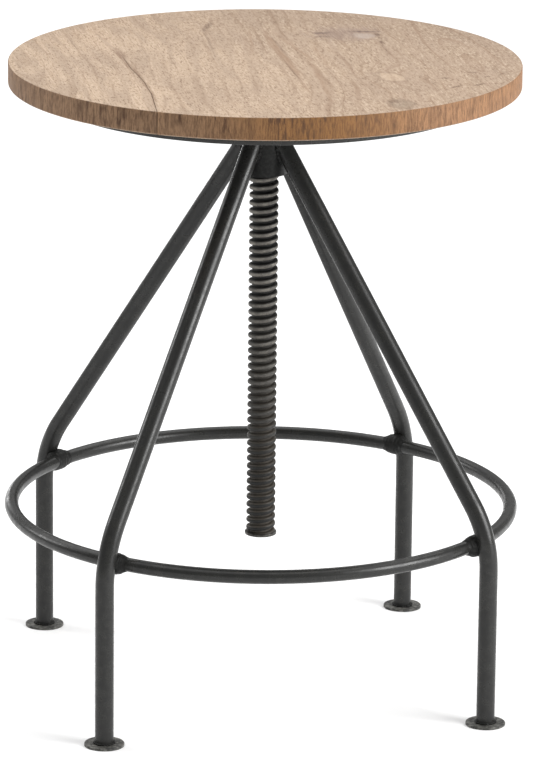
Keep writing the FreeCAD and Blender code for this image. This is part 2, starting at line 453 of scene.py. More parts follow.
class Graph:
    """A node tree under construction, where each call adds one node."""

    def __init__(self, tree: Tree) -> None:
        """Starts on an empty tree."""
        self.tree = tree
        tree.nodes.clear()

    def feed(self, node: Node, feeds: Feeds) -> None:
        """Links or sets a node's inputs.

        Args:
            node: The node.
            feeds: What goes into its sockets, by name or number.
        """
        for socket, value in feeds.items():
            if isinstance(value, Socket):
                self.tree.links.new(value, node.inputs[socket])
            else:
                node.inputs[socket].default_value = value

    def add(self, kind: str, feeds: Feeds | None = None, **settings: object) -> Node:
        """Adds a node.

        Args:
            kind: The node's type.
            feeds: What goes into its sockets, by name or number.
            **settings: The node's own values.

        Returns:
            The node.
        """
        node = self.tree.nodes.new(kind)
        for key, value in settings.items():
            setattr(node, key, value)
        self.feed(node, feeds or {})
        return node

    def group(self, tree: Tree, feeds: Feeds) -> Node:
        """Places a shared effect."""
        return self.add("ShaderNodeGroup", feeds, node_tree=tree)

    def math(self, operation: str, a: Feed, b: Feed = 0.0) -> Socket:
        """Adds a sum on two numbers."""
        return self.add("ShaderNodeMath", {0: a, 1: b}, operation=operation).outputs[0]

    def plus(self, a: Feed, b: Feed) -> Socket:
        """Adds one number to another."""
        return self.math("ADD", a, b)

    def minus(self, a: Feed, b: Feed) -> Socket:
        """Takes one number from another."""
        return self.math("SUBTRACT", a, b)

    def times(self, a: Feed, b: Feed) -> Socket:
        """Multiplies two numbers."""
        return self.math("MULTIPLY", a, b)

    def vector(self, operation: str, a: Feed, b: Feed = (0.0, 0.0, 0.0)) -> Socket:
        """Adds a sum on two vectors."""
        node = self.add("ShaderNodeVectorMath", {0: a, 1: b}, operation=operation)
        return node.outputs["Value" if operation in ("LENGTH", "DISTANCE") else "Vector"]

    def split(self, vector: Feed) -> tuple[Socket, ...]:
        """Takes a vector apart."""
        return tuple(self.add("ShaderNodeSeparateXYZ", {0: vector}).outputs)

    def together(self, x: Feed, y: Feed = 0.0, z: Feed = 0.0) -> Socket:
        """Puts a vector together."""
        return self.add("ShaderNodeCombineXYZ", {0: x, 1: y, 2: z}).outputs[0]

    def noise(self, place: Feed, detail: float, rough: float, scale: Feed = 1.0) -> Socket:
        """Adds a soft random value at each place."""
        feeds = {"Vector": place, "Scale": scale, "Detail": detail, "Roughness": rough}
        return self.add("ShaderNodeTexNoise", feeds).outputs["Fac"]

    def streaks(self, place: Feed, pattern: Pattern) -> Socket:
        """Adds a soft random value that runs further one way than another."""
        return self.noise(self.vector("MULTIPLY", place, pattern.change), pattern.detail, pattern.rough)

    def reach(self, place: Feed, centre: Feed, stretch: Triple) -> Socket:
        """Measures how far a place is from a centre, more one way than another."""
        aside = self.vector("SUBTRACT", place, centre)
        return self.vector("LENGTH", self.vector("MULTIPLY", aside, stretch))

    def ramp(self, value: Feed, low: Feed, high: Feed, first: Feed = 0.0, last: Feed = 1.0) -> Socket:
        """Eases a value from first to last as it goes from low to high."""
        feeds = {0: value, 1: low, 2: high, 3: first, 4: last}
        return self.add("ShaderNodeMapRange", feeds, interpolation_type="SMOOTHSTEP").outputs[0]

    def blend(self, share: Feed, a: Feed, b: Feed, how: str = "MIX") -> Socket:
        """Mixes two colours."""
        feeds = {0: share, 6: opaque(a), 7: opaque(b)}
        return self.add("ShaderNodeMix", feeds, data_type="RGBA", blend_type=how).outputs[2]

    def relief(self, height: Feed, depth: float, strength: float) -> Socket:
        """Turns a height into fine relief for a shader."""
        feeds = {"Height": height, "Distance": depth, "Strength": strength}
        return self.add("ShaderNodeBump", feeds).outputs["Normal"]


def shared_effect(name: str, takes: dict[str, str], gives: Sequence[str]) -> tuple[Graph, Node, Node]:
    """Starts a shader node group.

    Args:
        name: The group's name.
        takes: Its inputs, each with its socket type.
        gives: Its outputs, all plain values.

    Returns:
        The group's graph, its input node and its output node.
    """
    tree = bpy.data.node_groups.new(name, "ShaderNodeTree")
    for socket, kind in takes.items():
        tree.interface.new_socket(name=socket, in_out="INPUT", socket_type=kind)
    for socket in gives:
        tree.interface.new_socket(name=socket, in_out="OUTPUT", socket_type=NUMBER)
    graph = Graph(tree)
    return graph, graph.add("NodeGroupInput"), graph.add("NodeGroupOutput")


@dataclass(frozen=True)
class SteelMottle:
    """The blotches and fine pitting that all the steel shares."""

    blotch_detail: float = 3.0
    blotch_rough: float = 0.55
    blotch_span: Span = (0.35, 0.68)
    pit_detail: float = 2.0
    pit_rough: float = 0.6
    pit_span: Span = (0.56, 0.72)
    pit_depth: float = 0.35

    def tree(self) -> Tree:
        """Builds the effect.

        Returns:
            The node group: blotch and pit masks, and their height.
        """
        takes = {"Place": VECTOR, "Blotch Scale": NUMBER, "Pit Scale": NUMBER}
        graph, given, out = shared_effect("SteelMottle", takes, ("Blotch", "Pits", "Height"))
        place, blotch_scale, pit_scale = (given.outputs[socket] for socket in takes)
        blotch = graph.noise(place, self.blotch_detail, self.blotch_rough, blotch_scale)
        pits = graph.noise(place, self.pit_detail, self.pit_rough, pit_scale)
        graph.feed(out, {
            "Blotch": graph.ramp(blotch, *self.blotch_span),
            "Pits": graph.ramp(pits, *self.pit_span),
            "Height": graph.minus(blotch, graph.times(pits, self.pit_depth)),
        })
        return graph.tree


@dataclass(frozen=True)
class WoodGrain:
    """The figure of a flat-sawn board: growth rings that arch about a heart and flow round a knot.

    Patterns change across, along and through the board, but pace, vigour and bands from year to year.
    """

    drift: Pattern = Pattern((0.014, 0.005, 0.02), 1.5)
    drift_reach: float = 30.0
    ripple: Pattern = Pattern((0.07, 0.02, 0.07), 2.0)
    ripple_reach: float = 5.0
    arch_stretch: Triple = (1.0, 0.12, 0.0)
    knot_stretch: Triple = (1.0, 0.5, 0.0)
    knot_spread: float = 3.4
    knot_push: float = 1.5
    pace: Pattern = Pattern((0.7, 0.0, 0.0), 3.0, 0.7)
    pace_reach: float = 2.0
    late_start: float = 0.55
    late_peak: float = 0.92
    vigour: Pattern = Pattern((7.13, 0.012, 0.0), 1.0)
    vigour_span: Span = (0.35, 0.65)
    least_vigour: float = 0.15
    bands: Pattern = Pattern((0.9, 0.012, 0.0), 1.5)
    fibres: Pattern = Pattern((1.1, 0.05, 1.1), 4.0, 0.7)
    flecks: Pattern = Pattern((0.85, 0.19, 0.85), 2.0, 0.6)
    pore_span: Span = (0.55, 0.68)
    pore_depth: float = 0.8
    glint_span: Span = (0.33, 0.46)

    def tree(self) -> Tree:
        """Builds the effect.

        Returns:
            The node group: latewood lines, broad bands, fibres, dark and light flecks, and surface height.
        """
        takes = {
            "Place": VECTOR, "Shift": VECTOR, "Heart": VECTOR, "Knot": VECTOR,
            "Knot Size": NUMBER, "Ring Width": NUMBER,
        }
        gives = ("Rings", "Bands", "Fibres", "Pores", "Glints", "Height")
        graph, given, out = shared_effect("WoodGrain", takes, gives)
        place, shift, heart, knot_place, knot_size, ring_width = (given.outputs[socket] for socket in takes)
        shifted = graph.vector("ADD", place, shift)
        drift = graph.times(graph.minus(graph.streaks(shifted, self.drift), 0.5), self.drift_reach)
        ripple = graph.times(graph.minus(graph.streaks(shifted, self.ripple), 0.5), self.ripple_reach)
        arch = graph.reach(place, heart, self.arch_stretch)
        knot_reach = graph.reach(place, knot_place, self.knot_stretch)
        knot = graph.ramp(knot_reach, knot_size, graph.times(knot_size, self.knot_spread), 1.0, 0.0)
        push = graph.times(knot, graph.times(knot_size, self.knot_push))
        across = graph.plus(graph.plus(graph.plus(arch, drift), ripple), push)
        beat = graph.math("DIVIDE", across, ring_width)
        pace = graph.streaks(graph.together(beat), self.pace)
        years = graph.plus(beat, graph.times(pace, self.pace_reach))
        season = graph.math("FRACT", years)
        rise = graph.ramp(season, self.late_start, self.late_peak)
        late = graph.times(rise, graph.ramp(season, self.late_peak, 1.0, 1.0, 0.0))
        along = graph.split(shifted)[1]
        vigour = graph.streaks(graph.together(graph.math("FLOOR", years), along), self.vigour)
        strength = graph.ramp(vigour, *self.vigour_span, self.least_vigour, 1.0)
        fibres = graph.streaks(shifted, self.fibres)
        flecks = graph.streaks(shifted, self.flecks)
        pores = graph.ramp(flecks, *self.pore_span)
        graph.feed(out, {
            "Rings": graph.times(late, strength),
            "Bands": graph.streaks(graph.together(years, along), self.bands),
            "Fibres": fibres,
            "Pores": pores,
            "Glints": graph.ramp(flecks, *self.glint_span, 1.0, 0.0),
            "Height": graph.minus(fibres, graph.times(pores, self.pore_depth)),
        })
        return graph.tree


@dataclass(frozen=True)
class WoodSpot:
    """A soft-edged oval mark on a board, ragged along the grain."""

    ragged: Pattern = Pattern((0.35, 0.07, 0.35), 4.0, 0.7)

    def tree(self) -> Tree:
        """Builds the effect.

        Returns:
            The node group: the mark's fill and its rim.
        """
        takes = {
            "Place": VECTOR, "Centre": VECTOR, "Reach": VECTOR,
            "Turn": NUMBER, "Wobble": NUMBER, "Soft": NUMBER,
        }
        graph, given, out = shared_effect("WoodSpot", takes, ("Fill", "Rim"))
        place, centre, size, turn, wobble, soft = (given.outputs[socket] for socket in takes)
        feeds = {"Vector": graph.vector("SUBTRACT", place, centre), "Angle": graph.times(turn, -1.0)}
        turned = graph.add("ShaderNodeVectorRotate", feeds, rotation_type="Z_AXIS").outputs["Vector"]
        off = graph.vector("DIVIDE", turned, size)
        flat = graph.vector("LENGTH", graph.vector("MULTIPLY", off, (1.0, 1.0, 0.0)))
        ragged = graph.minus(graph.streaks(place, self.ragged), 0.5)
        reach = graph.plus(flat, graph.times(ragged, wobble))
        from_rim = graph.math("ABSOLUTE", graph.minus(reach, 1.0))
        graph.feed(out, {
            "Fill": graph.ramp(reach, graph.minus(1.0, soft), graph.plus(1.0, soft), 1.0, 0.0),
            "Rim": graph.ramp(from_rim, 0.0, soft, 1.0, 0.0),
        })
        return graph.tree


@dataclass(frozen=True)
class Effects:
    """The shader node groups that several finishes place."""

    mottle: Tree
    grain: Tree
    spot: Tree


def finish_sheet(name: str) -> tuple[Graph, Node, Socket, Material]:
    """Starts a material with its shader and its place in millimetres.

    Args:
        name: The material's name.

    Returns:
        The graph, the shader, the place on the piece in millimetres, and the material.
    """
    material = bpy.data.materials.new(name)
    material.use_nodes = True
    graph = Graph(material.node_tree)
    shader = graph.add("ShaderNodeBsdfPrincipled")
    graph.add("ShaderNodeOutputMaterial", {"Surface": shader.outputs["BSDF"]})
    place = graph.add("ShaderNodeTexCoord").outputs["Object"]
    millimetres = graph.vector("MULTIPLY", place, (1 / MM, 1 / MM, 1 / MM))
    return graph, shader, millimetres, material


# Finishes


@dataclass(frozen=True)
class SteelFinish:
    """A dark coated steel, mottled and finely pitted."""

    name: str
    dark: Colour
    light: Colour
    pitted: Colour
    gloss: float
    dull: float
    blotch_scale: float
    pit_scale: float
    relief: float
    metal: float = 0.0
    shine: float = COAT_SHINE
    relief_strength: float = 0.6

    def material(self, effects: Effects) -> Material:
        """Builds the finish.

        Args:
            effects: The shared effects.

        Returns:
            The material.
        """
        graph, shader, place, material = finish_sheet(self.name)
        mottle = graph.group(effects.mottle, {
            "Place": place, "Blotch Scale": self.blotch_scale, "Pit Scale": self.pit_scale
        }).outputs
        coat = graph.blend(mottle["Blotch"], self.dark, self.light)
        graph.feed(shader, {
            "Base Color": graph.blend(mottle["Pits"], coat, self.pitted),
            "Roughness": graph.ramp(mottle["Blotch"], 0.0, 1.0, self.dull, self.gloss),
            "Metallic": self.metal,
            "Specular IOR Level": self.shine,
            "Normal": graph.relief(mottle["Height"], self.relief, self.relief_strength),
        })
        return material


@dataclass(frozen=True)
class ThreadFinish:
    """Dark oiled steel whose crests carry a bright band on their lower half, more so higher up.

    The band is wear from rubbing and also a painted highlight: the floor's light that a crest's lower half
    would catch. The dark upper flanks are painted shade under the seat. Near the lower end, the crests'
    upper halves are painted lighter and their lower halves darker. The band's edges are given in turns of
    the thread, from the middle of a crest.
    """

    name: str
    oiled: Colour
    rub_and_painted_highlight: Colour
    rusty: Colour
    pitch: float
    low: float
    high: float
    blotch_scale: float = 0.16
    pit_scale: float = 0.9
    lower_edge: Span = (-0.46, -0.34)
    upper_edge: Span = (0.06, 0.22)
    least_rub_and_highlight: float = 0.6
    pit_share: float = 0.5
    roughness: Span = (0.55, 0.45)
    metal: Span = (0.1, 0.5)
    relief: float = 0.12 * MM
    relief_strength: float = 0.5

    def material(self, effects: Effects) -> Material:
        """Builds the finish.

        Args:
            effects: The shared effects.

        Returns:
            The material.
        """
        graph, shader, place, material = finish_sheet(self.name)
        mottle = graph.group(effects.mottle, {
            "Place": place, "Blotch Scale": self.blotch_scale, "Pit Scale": self.pit_scale
        }).outputs
        x, y, z = graph.split(place)
        turn = graph.math("DIVIDE", graph.math("ARCTAN2", y, x), 2 * math.pi)
        climb = graph.minus(graph.math("DIVIDE", z, self.pitch / MM), turn)
        from_crest = graph.minus(graph.math("FRACT", graph.plus(climb, 0.5)), 0.5)
        # The lower half of each crest, where the painted highlight and the rubbing wear go
        lower = graph.ramp(from_crest, *self.lower_edge)
        band = graph.times(lower, graph.ramp(from_crest, *self.upper_edge, 1.0, 0.0))
        height = graph.ramp(z, self.low / MM, self.high / MM)
        patchy = graph.ramp(mottle["Blotch"], 0.0, 1.0, self.least_rub_and_highlight, 1.0)
        # Painted highlight and rubbing wear, fading towards the lower end
        rub_and_painted_highlight = graph.times(graph.times(band, height), patchy)
        # Near the lower end: painted light on the crests' upper halves, painted shade on their lower halves
        low_crest_light_and_shade = graph.blend(band, self.rusty, self.oiled)
        oiled = graph.blend(height, low_crest_light_and_shade, self.oiled)
        colour = graph.blend(rub_and_painted_highlight, oiled, self.rub_and_painted_highlight)
        graph.feed(shader, {
            "Base Color": graph.blend(graph.times(mottle["Pits"], self.pit_share), colour, self.oiled),
            "Roughness": graph.ramp(rub_and_painted_highlight, 0.0, 1.0, *self.roughness),
            "Metallic": graph.ramp(rub_and_painted_highlight, 0.0, 1.0, *self.metal),
            "Specular IOR Level": COAT_SHINE,
            "Normal": graph.relief(mottle["Height"], self.relief, self.relief_strength),
        })
        return material


@dataclass(frozen=True)
class Mark:
    """A stain, knot or filled hole on the seat's top, in millimetres and degrees."""

    colour: Colour
    centre: Span
    reach: Span
    fill: float
    rim: float = 0.0
    rim_colour: Colour = (0.0, 0.0, 0.0)
    turn: float = 0.0
    wobble: float = 0.8
    soft: float = 0.6


@dataclass(frozen=True)
class BoardFinish:
    """Matt oiled hardwood with open grain, as one board of the seat shows it.

    Places, rings and knots are in millimetres. A board without a knot has it far off the seat.
    """

    name: str
    edge_radius: float
    marks: tuple[Mark, ...]
    figure: float
    heart: Span
    shift: Triple
    ring_width: float = 9.0
    knot: Span = (400.0, 0.0)
    knot_size: float = 4.0

    # How matt the wood is, and how deep its grain
    SHINE = 0.3
    RELIEF = 0.25 * MM
    RELIEF_STRENGTH = 0.45
    MATT_SPAN = (0.3, 0.7)
    MATT = (0.62, 0.74)

    # The face: its tones, where each starts and is full, and its share
    PALE = shade(198, 175, 152)
    TAN = shade(172, 147, 122)
    FIBRE_SPAN = (0.3, 0.72)
    FIBRE_SHARE = 0.8
    SHADED = shade(166, 144, 124)
    CLOUDS = Pattern((0.022, 0.012, 0.02), 2.0)
    CLOUD_SPAN = (0.4, 0.7)
    CLOUD_SHARE = 0.45
    BAND_SPAN = (0.42, 0.62)
    BAND_SHARE = 0.6
    # Painted shade: the face is multiplied darker towards its right side and towards its back
    FAR_SIDE_PAINTED_SHADE = (0.70, 0.685, 0.675)
    FAR_SIDE_SHADE_SPAN = (-120.0, 180.0)
    FAR_END = (0.90, 0.88, 0.86)
    FAR_END_SHADE_SPAN = (10.0, 190.0)
    GLINT = shade(212, 192, 170)
    GLINT_SHARE = 0.46
    LATE = shade(140, 114, 92)
    PORE = shade(118, 93, 72)
    PORE_SHARE = 0.7
    BROKEN_SPAN = (0.36, 0.6)
    LEAST_MARK = 0.45

    # The sawn edge: its tones from left to right, and its streaks
    EDGE_LEFT = shade(148, 117, 89)
    EDGE_MIDDLE = shade(131, 92, 52)
    EDGE_RIGHT = shade(151, 113, 81)
    EDGE_LEFT_SPAN = (-110.0, -10.0)
    EDGE_RIGHT_SPAN = (10.0, 110.0)
    EDGE_STREAK = shade(74, 50, 34)
    PATCHES = Pattern((0.05, 0.05, 0.04), 2.0)
    PATCH_SPAN = (0.4, 0.65)
    PATCH_SHARE = 0.85
    FADE_SPAN = (20.0, 90.0)
    LEAST_PATCH = 0.3
    STREAKS = Pattern((0.3, 0.3, 0.05), 4.0, 0.7)
    STREAK_SPAN = (0.42, 0.68)
    STREAK_SHARE = 0.5
    FINE = Pattern((1.1, 1.1, 0.16), 3.0, 0.7)
    FINE_SPAN = (0.42, 0.66)
    FINE_SHARE = 0.62
    EDGE_START = 0.9
    EDGE_FULL = 0.2

    def material(self, effects: Effects) -> Material:
        """Builds the board's finish.

        Args:
            effects: The shared effects.

        Returns:
            The material.
        """
        graph, shader, place, material = finish_sheet(self.name)
        grain = graph.group(effects.grain, {
            "Place": place, "Shift": self.shift, "Heart": (*self.heart, 0.0), "Knot": (*self.knot, 0.0),
            "Knot Size": self.knot_size, "Ring Width": self.ring_width,
        })
        top = self.marked(graph, place, grain, effects, self.top_colour(graph, place, grain))
        edge, on_edge = self.edge_colour(graph, place)
        graph.feed(shader, {
            "Base Color": graph.blend(on_edge, top, edge),
            "Roughness": graph.ramp(grain.outputs["Fibres"], *self.MATT_SPAN, *self.MATT),
            "Specular IOR Level": self.SHINE,
            "Normal": graph.relief(grain.outputs["Height"], self.RELIEF, self.RELIEF_STRENGTH),
        })
        return material

    def top_colour(self, graph: Graph, place: Socket, grain: Node) -> Socket:
        """Colours the board's face by its grain, with painted shade darkening it towards the right side and
        the back.

        Args:
            graph: The material's graph.
            place: The place on the piece in millimetres.
            grain: The grain effect as placed.

        Returns:
            The face's colour.
        """
        x, y, _ = graph.split(place)
        shown = grain.outputs
        fibre = graph.ramp(shown["Fibres"], *self.FIBRE_SPAN, 0.0, self.FIBRE_SHARE)
        colour = graph.blend(fibre, self.PALE, self.TAN)
        clouds = graph.streaks(place, self.CLOUDS)
        cloudy = graph.ramp(clouds, *self.CLOUD_SPAN, 0.0, self.CLOUD_SHARE)
        colour = graph.blend(cloudy, colour, self.SHADED)
        # Painted shade, darker towards the right side and the back
        colour = graph.blend(graph.ramp(x, *self.FAR_SIDE_SHADE_SPAN), colour, self.FAR_SIDE_PAINTED_SHADE, "MULTIPLY")
        colour = graph.blend(graph.ramp(y, *self.FAR_END_SHADE_SPAN), colour, self.FAR_END, "MULTIPLY")
        colour = graph.blend(graph.times(shown["Glints"], self.GLINT_SHARE), colour, self.GLINT)
        bands = graph.ramp(shown["Bands"], *self.BAND_SPAN, 0.0, self.BAND_SHARE)
        colour = graph.blend(bands, colour, self.SHADED)
        colour = graph.blend(graph.times(shown["Rings"], self.figure), colour, self.LATE)
        return graph.blend(graph.times(shown["Pores"], self.PORE_SHARE), colour, self.PORE)

    def marked(self, graph: Graph, place: Socket, grain: Node, effects: Effects, colour: Socket) -> Socket:
        """Adds the board's stains, knots and filled holes to its face.

        Args:
            graph: The material's graph.
            place: The place on the piece in millimetres.
            grain: The grain effect as placed.
            effects: The shared effects.
            colour: The face's colour without them.

        Returns:
            The face's colour with them.
        """
        broken = graph.ramp(grain.outputs["Fibres"], *self.BROKEN_SPAN, self.LEAST_MARK, 1.0)
        for mark in self.marks:
            spot = graph.group(effects.spot, {
                "Place": place, "Centre": (*mark.centre, 0.0), "Reach": (*mark.reach, 1.0),
                "Turn": math.radians(mark.turn), "Wobble": mark.wobble, "Soft": mark.soft,
            }).outputs
            streaky = graph.times(spot["Fill"], broken)
            colour = graph.blend(graph.times(streaky, mark.fill), colour, mark.colour)
            if mark.rim:
                colour = graph.blend(graph.times(spot["Rim"], mark.rim), colour, mark.rim_colour)
        return colour

    def edge_colour(self, graph: Graph, place: Socket) -> tuple[Socket, Socket]:
        """Colours the sawn edge, browner to the left, with dark streaks down it.

        Args:
            graph: The material's graph.
            place: The place on the piece in millimetres.

        Returns:
            The edge's colour, and where it shows.
        """
        x, y, _ = graph.split(place)
        colour = graph.blend(graph.ramp(x, *self.EDGE_LEFT_SPAN), self.EDGE_LEFT, self.EDGE_MIDDLE)
        colour = graph.blend(graph.ramp(x, *self.EDGE_RIGHT_SPAN), colour, self.EDGE_RIGHT)
        patches = graph.ramp(graph.streaks(place, self.PATCHES), *self.PATCH_SPAN)
        streaks = graph.ramp(graph.streaks(place, self.STREAKS), *self.STREAK_SPAN)
        fine = graph.streaks(place, self.FINE)
        worn = graph.times(patches, graph.ramp(x, *self.FADE_SPAN, 1.0, self.LEAST_PATCH))
        shares = (
            graph.ramp(graph.times(worn, streaks), 0.0, 1.0, 0.0, self.PATCH_SHARE),
            graph.times(streaks, self.STREAK_SHARE),
            graph.ramp(fine, *self.FINE_SPAN, 0.0, self.FINE_SHARE),
        )
        for share in shares:
            colour = graph.blend(share, colour, self.EDGE_STREAK)
        radius = graph.vector("LENGTH", graph.together(x, y))
        rim = self.edge_radius / MM
        return colour, graph.ramp(radius, rim - self.EDGE_START, rim - self.EDGE_FULL)


def steel_finishes() -> dict[Slot, SteelFinish]:
    """Gives the steel its finishes.

    Returns:
        One finish for each of the record's steel slots.
    """
    return {
        Slot.BLACK_STEEL: SteelFinish(
            "satin_black_steel", dark=shade(31, 31, 30), light=shade(40, 40, 38), pitted=shade(28, 28, 27),
            gloss=0.26, dull=0.36, blotch_scale=0.14, pit_scale=0.8, relief=0.06 * MM,
        ),
        Slot.FOOT_STEEL: SteelFinish(
            "worn_foot_steel", dark=shade(46, 46, 44), light=shade(108, 107, 102), pitted=shade(32, 31, 30),
            gloss=0.40, dull=0.58, blotch_scale=0.35, pit_scale=1.1, relief=0.25 * MM,
        ),
        # This finish also dresses the hub, where its darkness is painted shade under the seat
        Slot.WELD_STEEL: SteelFinish(
            "black_weld_steel", dark=shade(20, 20, 19), light=shade(31, 31, 30), pitted=shade(16, 16, 15),
            gloss=0.40, dull=0.55, blotch_scale=0.5, pit_scale=1.2, relief=0.05 * MM, shine=0.18,
        ),
        Slot.SPINDLE_STEEL: SteelFinish(
            "oiled_dark_steel", dark=shade(58, 56, 53), light=shade(92, 90, 86), pitted=shade(40, 38, 36),
            gloss=0.32, dull=0.5, blotch_scale=0.4, pit_scale=1.2, relief=0.10 * MM, metal=0.6,
        ),
        Slot.SCREW_STEEL: SteelFinish(
            "dull_zinc", dark=shade(150, 148, 142), light=shade(184, 182, 176), pitted=shade(110, 107, 100),
            gloss=0.35, dull=0.5, blotch_scale=0.5, pit_scale=1.5, relief=0.05 * MM, metal=0.9,
        ),
    }


def board_finishes(edge_radius: float) -> list[BoardFinish]:
    """Gives the boards their finishes, each with the marks that it shows.

    Args:
        edge_radius: The seat's radius.

    Returns:
        One finish for each board, from left to right.
    """
    streak, smear, haze = shade(150, 123, 100), shade(98, 76, 66), shade(138, 117, 105)
    dark, filler, light = shade(104, 80, 62), shade(176, 160, 148), shade(198, 175, 151)
    split, cinder = shade(126, 99, 79), shade(134, 119, 102)
    crack = (
        Mark(split, (-104.2, -120), (1.5, 30), 0.6, turn=-6, wobble=0.7),
        Mark(split, (-101.4, -66), (1.5, 44), 0.6, turn=-1, wobble=0.7),
        Mark(split, (-102.3, 2), (1.5, 46), 0.6, turn=2, wobble=0.7),
        Mark(split, (-101.6, 38), (2.6, 20), 0.7, turn=-2, wobble=0.9),
    )
    inner_left = (
        *crack,
        Mark(dark, (-20, 128), (2.4, 16), 0.75, turn=-20, wobble=1.8),
        Mark(dark, (-28.5, 78), (1.2, 40), 0.45, turn=-5, wobble=1.6),
        Mark(streak, (-2, 55), (2.6, 50), 0.35, turn=-6, wobble=1.6),
    )
    inner_right = (
        Mark(streak, (17, 60), (3.0, 40), 0.8, turn=-3, wobble=0.9, soft=0.4),
        Mark(streak, (15.6, -6), (3.3, 52), 0.9, turn=-2, wobble=0.9, soft=0.4),
        Mark(dark, (13.0, -40), (1.0, 44), 0.55, turn=-1, wobble=1.0),
        Mark(dark, (20.2, 50), (0.9, 40), 0.45, turn=-1, wobble=1.2),
        Mark(streak, (11.5, -90), (1.3, 30), 0.6, turn=-3, wobble=1.4),
        Mark(streak, (4.0, 76), (1.2, 34), 0.55, turn=-8, wobble=1.5),
        Mark(streak, (31, 42), (1.7, 44), 0.7, turn=6, wobble=1.4),
        Mark(streak, (28, -62), (1.9, 74), 0.65, turn=-5, wobble=1.4),
        Mark(streak, (43.5, 8), (1.8, 44), 0.5, turn=-3, wobble=1.5),
        Mark(streak, (32, 95.5), (24, 1.1), 0.4),
        Mark(haze, (78, 86), (24, 24), 0.8, wobble=2.2),
        Mark(smear, (61, 92), (6.5, 3.4), 0.9, wobble=1.2),
        Mark(smear, (59.5, 79), (6.0, 2.8), 0.6, wobble=1.2),
        Mark(smear, (94, 92), (11, 2.6), 0.85, turn=-8, wobble=1.4),
        Mark(filler, (90.8, 77), (6.8, 9.5), 0.85, wobble=1.6, soft=0.5),
        Mark(dark, (102, 80), (1.8, 4.5), 0.95),
        Mark(dark, (101, 67), (1.3, 3.5), 0.75),
        Mark(dark, (99.4, 53), (1.7, 5.0), 0.85),
        Mark(dark, (97, 30), (1.2, 22), 0.35, turn=-2, wobble=1.6),
        Mark(light, (80.5, -68), (9.0, 17), 0.5, rim=0.35, rim_colour=dark, turn=12, wobble=1.5, soft=0.3),
        Mark(cinder, (68, -157), (9.2, 14.5), 0.55, rim=0.3, rim_colour=dark, wobble=1.6, soft=0.4),
        Mark(dark, (66, -149), (4.2, 4), 0.6, wobble=1.2),
    )
    outer_right = (
        Mark(dark, (119, -77), (4.0, 2.2), 0.75, wobble=1.2, soft=0.35),
        Mark(dark, (143, -61), (3.8, 2.2), 0.7, wobble=1.2, soft=0.35),
        Mark(dark, (120, -107), (6.8, 1.8), 0.8, turn=38, wobble=1.2, soft=0.35),
        Mark(dark, (138.5, -102), (6.2, 1.8), 0.75, turn=38, wobble=1.2, soft=0.35),
        Mark(dark, (150, -77), (2.6, 1.6), 0.8, wobble=1.2, soft=0.35),
    )
    return [
        BoardFinish(
            "plank_wood_left_outer", edge_radius, crack, figure=0.42,
            heart=(-176, 60), shift=(310, 45, 7),
        ),
        BoardFinish(
            "plank_wood_left_inner", edge_radius, inner_left, figure=0.36,
            heart=(-150, 300), shift=(57, 812, 21),
        ),
        BoardFinish(
            "plank_wood_right_inner", edge_radius, inner_right, figure=0.66,
            heart=(-40, 330), shift=(941, 377, 63), knot=(81, -67), knot_size=9.0,
        ),
        BoardFinish(
            "plank_wood_right_outer", edge_radius, outer_right, figure=0.72,
            heart=(150, -40), shift=(613, 129, 90), ring_width=10.0,
        ),
    ]


# The stool's sub-assemblies


def dress(piece: Piece, material: Material) -> None:
    """Gives a piece one material all over.

    Args:
        piece: The piece.
        material: Its finish.
    """
    if not piece.material_slots:
        piece.data.materials.append(material)
    for slot in piece.material_slots:
        slot.material = material


def fit(piece: Piece, body: Body, node: str) -> None:
    """Mounts a finished piece on its body.

    Args:
        piece: The finished piece.
        body: What it moves with.
        node: The plain solid that it stands for.
    """
    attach(piece, body.value)
    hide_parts(node)
    log.info("%s rides on %s", piece.name, body.value)


